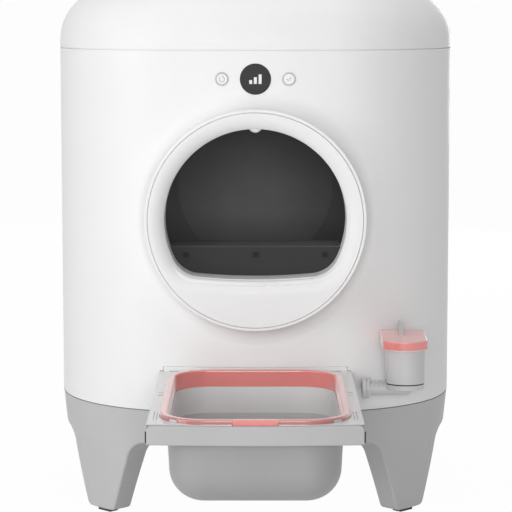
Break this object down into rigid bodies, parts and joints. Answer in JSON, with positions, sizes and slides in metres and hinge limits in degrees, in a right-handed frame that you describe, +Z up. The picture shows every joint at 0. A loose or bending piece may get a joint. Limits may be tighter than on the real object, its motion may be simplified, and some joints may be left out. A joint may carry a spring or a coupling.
{
  "type": "self-cleaning litter box",
  "caption": "Upright self-cleaning litter box: round doorway to a turning drum, domed lift-off top, legged base, pull-out waste drawer with bag ring, and a deodoriser pot.",
  "frame": {"origin": "on the floor, under the middle of the whole box with the drawer pulled out", "axes": "+X to the right seen from the front, +Y from the front to the back, +Z up"},
  "size_m": [0.504, 0.832, 0.6484],
  "materials": {
    "white_plastic": "smooth satin white moulding",
    "grey_plastic": "fine matt light grey moulding",
    "pale_grey_plastic": "fine matt pale grey moulding",
    "dark_plastic": "matt dark grey moulding",
    "pink_plastic": "satin salmon pink moulding",
    "black_gloss": "gloss black lens",
    "clear_plastic": "pale frosted plastic",
    "rubber": "soft dark rubber",
    "steel": "plain steel",
    "motor_metal": "cast and drawn metal can",
    "board": "green circuit board"
  },
  "bodies": {
    "body": {"base_skirt": "grey_plastic", "leg_rear_right": "grey_plastic", "leg_rear_left": "grey_plastic", "leg_front_right": "grey_plastic", "leg_front_left": "grey_plastic", "foot_pads": "rubber", "load_cells": "motor_metal", "base_deck": "grey_plastic", "housing_shell": "white_plastic", "entrance_funnel": "white_plastic", "sensor_nub": "white_plastic", "litter_guard": "dark_plastic", "guard_clips": "dark_plastic", "mouth_seal": "rubber", "motor_bracket": "steel", "drive_motor": "motor_metal", "motor_screws": "steel", "cradle_right": "grey_plastic", "cradle_left": "grey_plastic", "roller_axles": "steel", "waste_chute": "grey_plastic", "runner_right": "pale_grey_plastic", "runner_left": "pale_grey_plastic", "display_lens": "black_gloss", "control_board": "board", "tact_switches": "dark_plastic", "main_board": "board", "power_inlet": "dark_plastic", "deodoriser_port": "pale_grey_plastic", "port_nut": "pale_grey_plastic", "deodoriser_pipe": "pale_grey_plastic", "clamp_screw": "pale_grey_plastic", "deodoriser_saddle": "pale_grey_plastic", "pot_gasket": "rubber"},
    "top": {"top_cover": "white_plastic"},
    "drum": {"drum_front": "dark_plastic", "drum_rear": "dark_plastic", "drum_sieve": "dark_plastic", "drum_gear": "dark_plastic"},
    "pinion": {"drive_pinion": "steel"},
    "roller_fl": {"roller_front_left": "rubber"},
    "roller_fr": {"roller_front_right": "rubber"},
    "roller_rl": {"roller_rear_left": "rubber"},
    "roller_rr": {"roller_rear_right": "rubber"},
    "drawer": {"drawer_frame": "pale_grey_plastic", "drawer_front": "grey_plastic", "band_bumpers": "rubber", "bay_shutter": "white_plastic"},
    "bin": {"waste_bin": "grey_plastic", "ring_clips": "pale_grey_plastic"},
    "ring": {"bag_ring": "pink_plastic"},
    "left_key": {"button_left": "white_plastic"},
    "right_key": {"button_right": "white_plastic"},
    "pot": {"deodoriser_pot": "pale_grey_plastic"},
    "lid": {"deodoriser_lid": "pink_plastic", "lid_fin": "clear_plastic"}
  },
  "joints": [
    {"name": "drum_turn", "type": "hinge", "parent": "body", "child": "drum", "pos_m": [0, 0.164, 0.3724], "axis": [0, 1, 0], "continuous": true},
    {"name": "pinion_spin", "type": "hinge", "parent": "body", "child": "pinion", "pos_m": [0, 0.322, 0.1654], "axis": [0, 1, 0], "continuous": true},
    {"name": "roller_front_left_spin", "type": "hinge", "parent": "body", "child": "roller_fl", "pos_m": [-0.1392, 0.044, 0.24708], "axis": [0, 1, 0], "continuous": true},
    {"name": "roller_front_right_spin", "type": "hinge", "parent": "body", "child": "roller_fr", "pos_m": [0.1392, 0.044, 0.24708], "axis": [0, 1, 0], "continuous": true},
    {"name": "roller_rear_left_spin", "type": "hinge", "parent": "body", "child": "roller_rl", "pos_m": [-0.1392, 0.269, 0.24708], "axis": [0, 1, 0], "continuous": true},
    {"name": "roller_rear_right_spin", "type": "hinge", "parent": "body", "child": "roller_rr", "pos_m": [0.1392, 0.269, 0.24708], "axis": [0, 1, 0], "continuous": true},
    {"name": "drawer_slide", "type": "slide", "parent": "body", "child": "drawer", "axis": [0, 1, 0], "range_m": [0, 0.322]},
    {"name": "bin_lift", "type": "slide", "parent": "drawer", "child": "bin", "axis": [0, 0, -1], "range_m": [-0.02, 0]},
    {"name": "ring_lift", "type": "slide", "parent": "bin", "child": "ring", "axis": [0, 0, -1], "range_m": [-0.016, 0]},
    {"name": "top_cover_lift", "type": "slide", "parent": "body", "child": "top", "axis": [0, 0, 1], "range_m": [0, 0.12]},
    {"name": "pot_lift", "type": "slide", "parent": "body", "child": "pot", "axis": [0, 0, 1], "range_m": [0, 0.03]},
    {"name": "lid_lift", "type": "slide", "parent": "pot", "child": "lid", "axis": [0, 0, 1], "range_m": [0, 0.03]},
    {"name": "button_left_press", "type": "slide", "parent": "body", "child": "left_key", "axis": [0, 1, 0], "range_m": [0, 0.001], "stiffness_N_per_m": 800, "springref_m": -0.0005},
    {"name": "button_right_press", "type": "slide", "parent": "body", "child": "right_key", "axis": [0, 1, 0], "range_m": [0, 0.001], "stiffness_N_per_m": 800, "springref_m": -0.0005}
  ],
  "couplings": [
    {"joint": "pinion_spin", "follows": "drum_turn", "ratio": -6.6667},
    {"joint": "roller_front_left_spin", "follows": "drum_turn", "ratio": -12.357},
    {"joint": "roller_front_right_spin", "follows": "drum_turn", "ratio": -12.357},
    {"joint": "roller_rear_left_spin", "follows": "drum_turn", "ratio": -12.357},
    {"joint": "roller_rear_right_spin", "follows": "drum_turn", "ratio": -12.357}
  ]
}
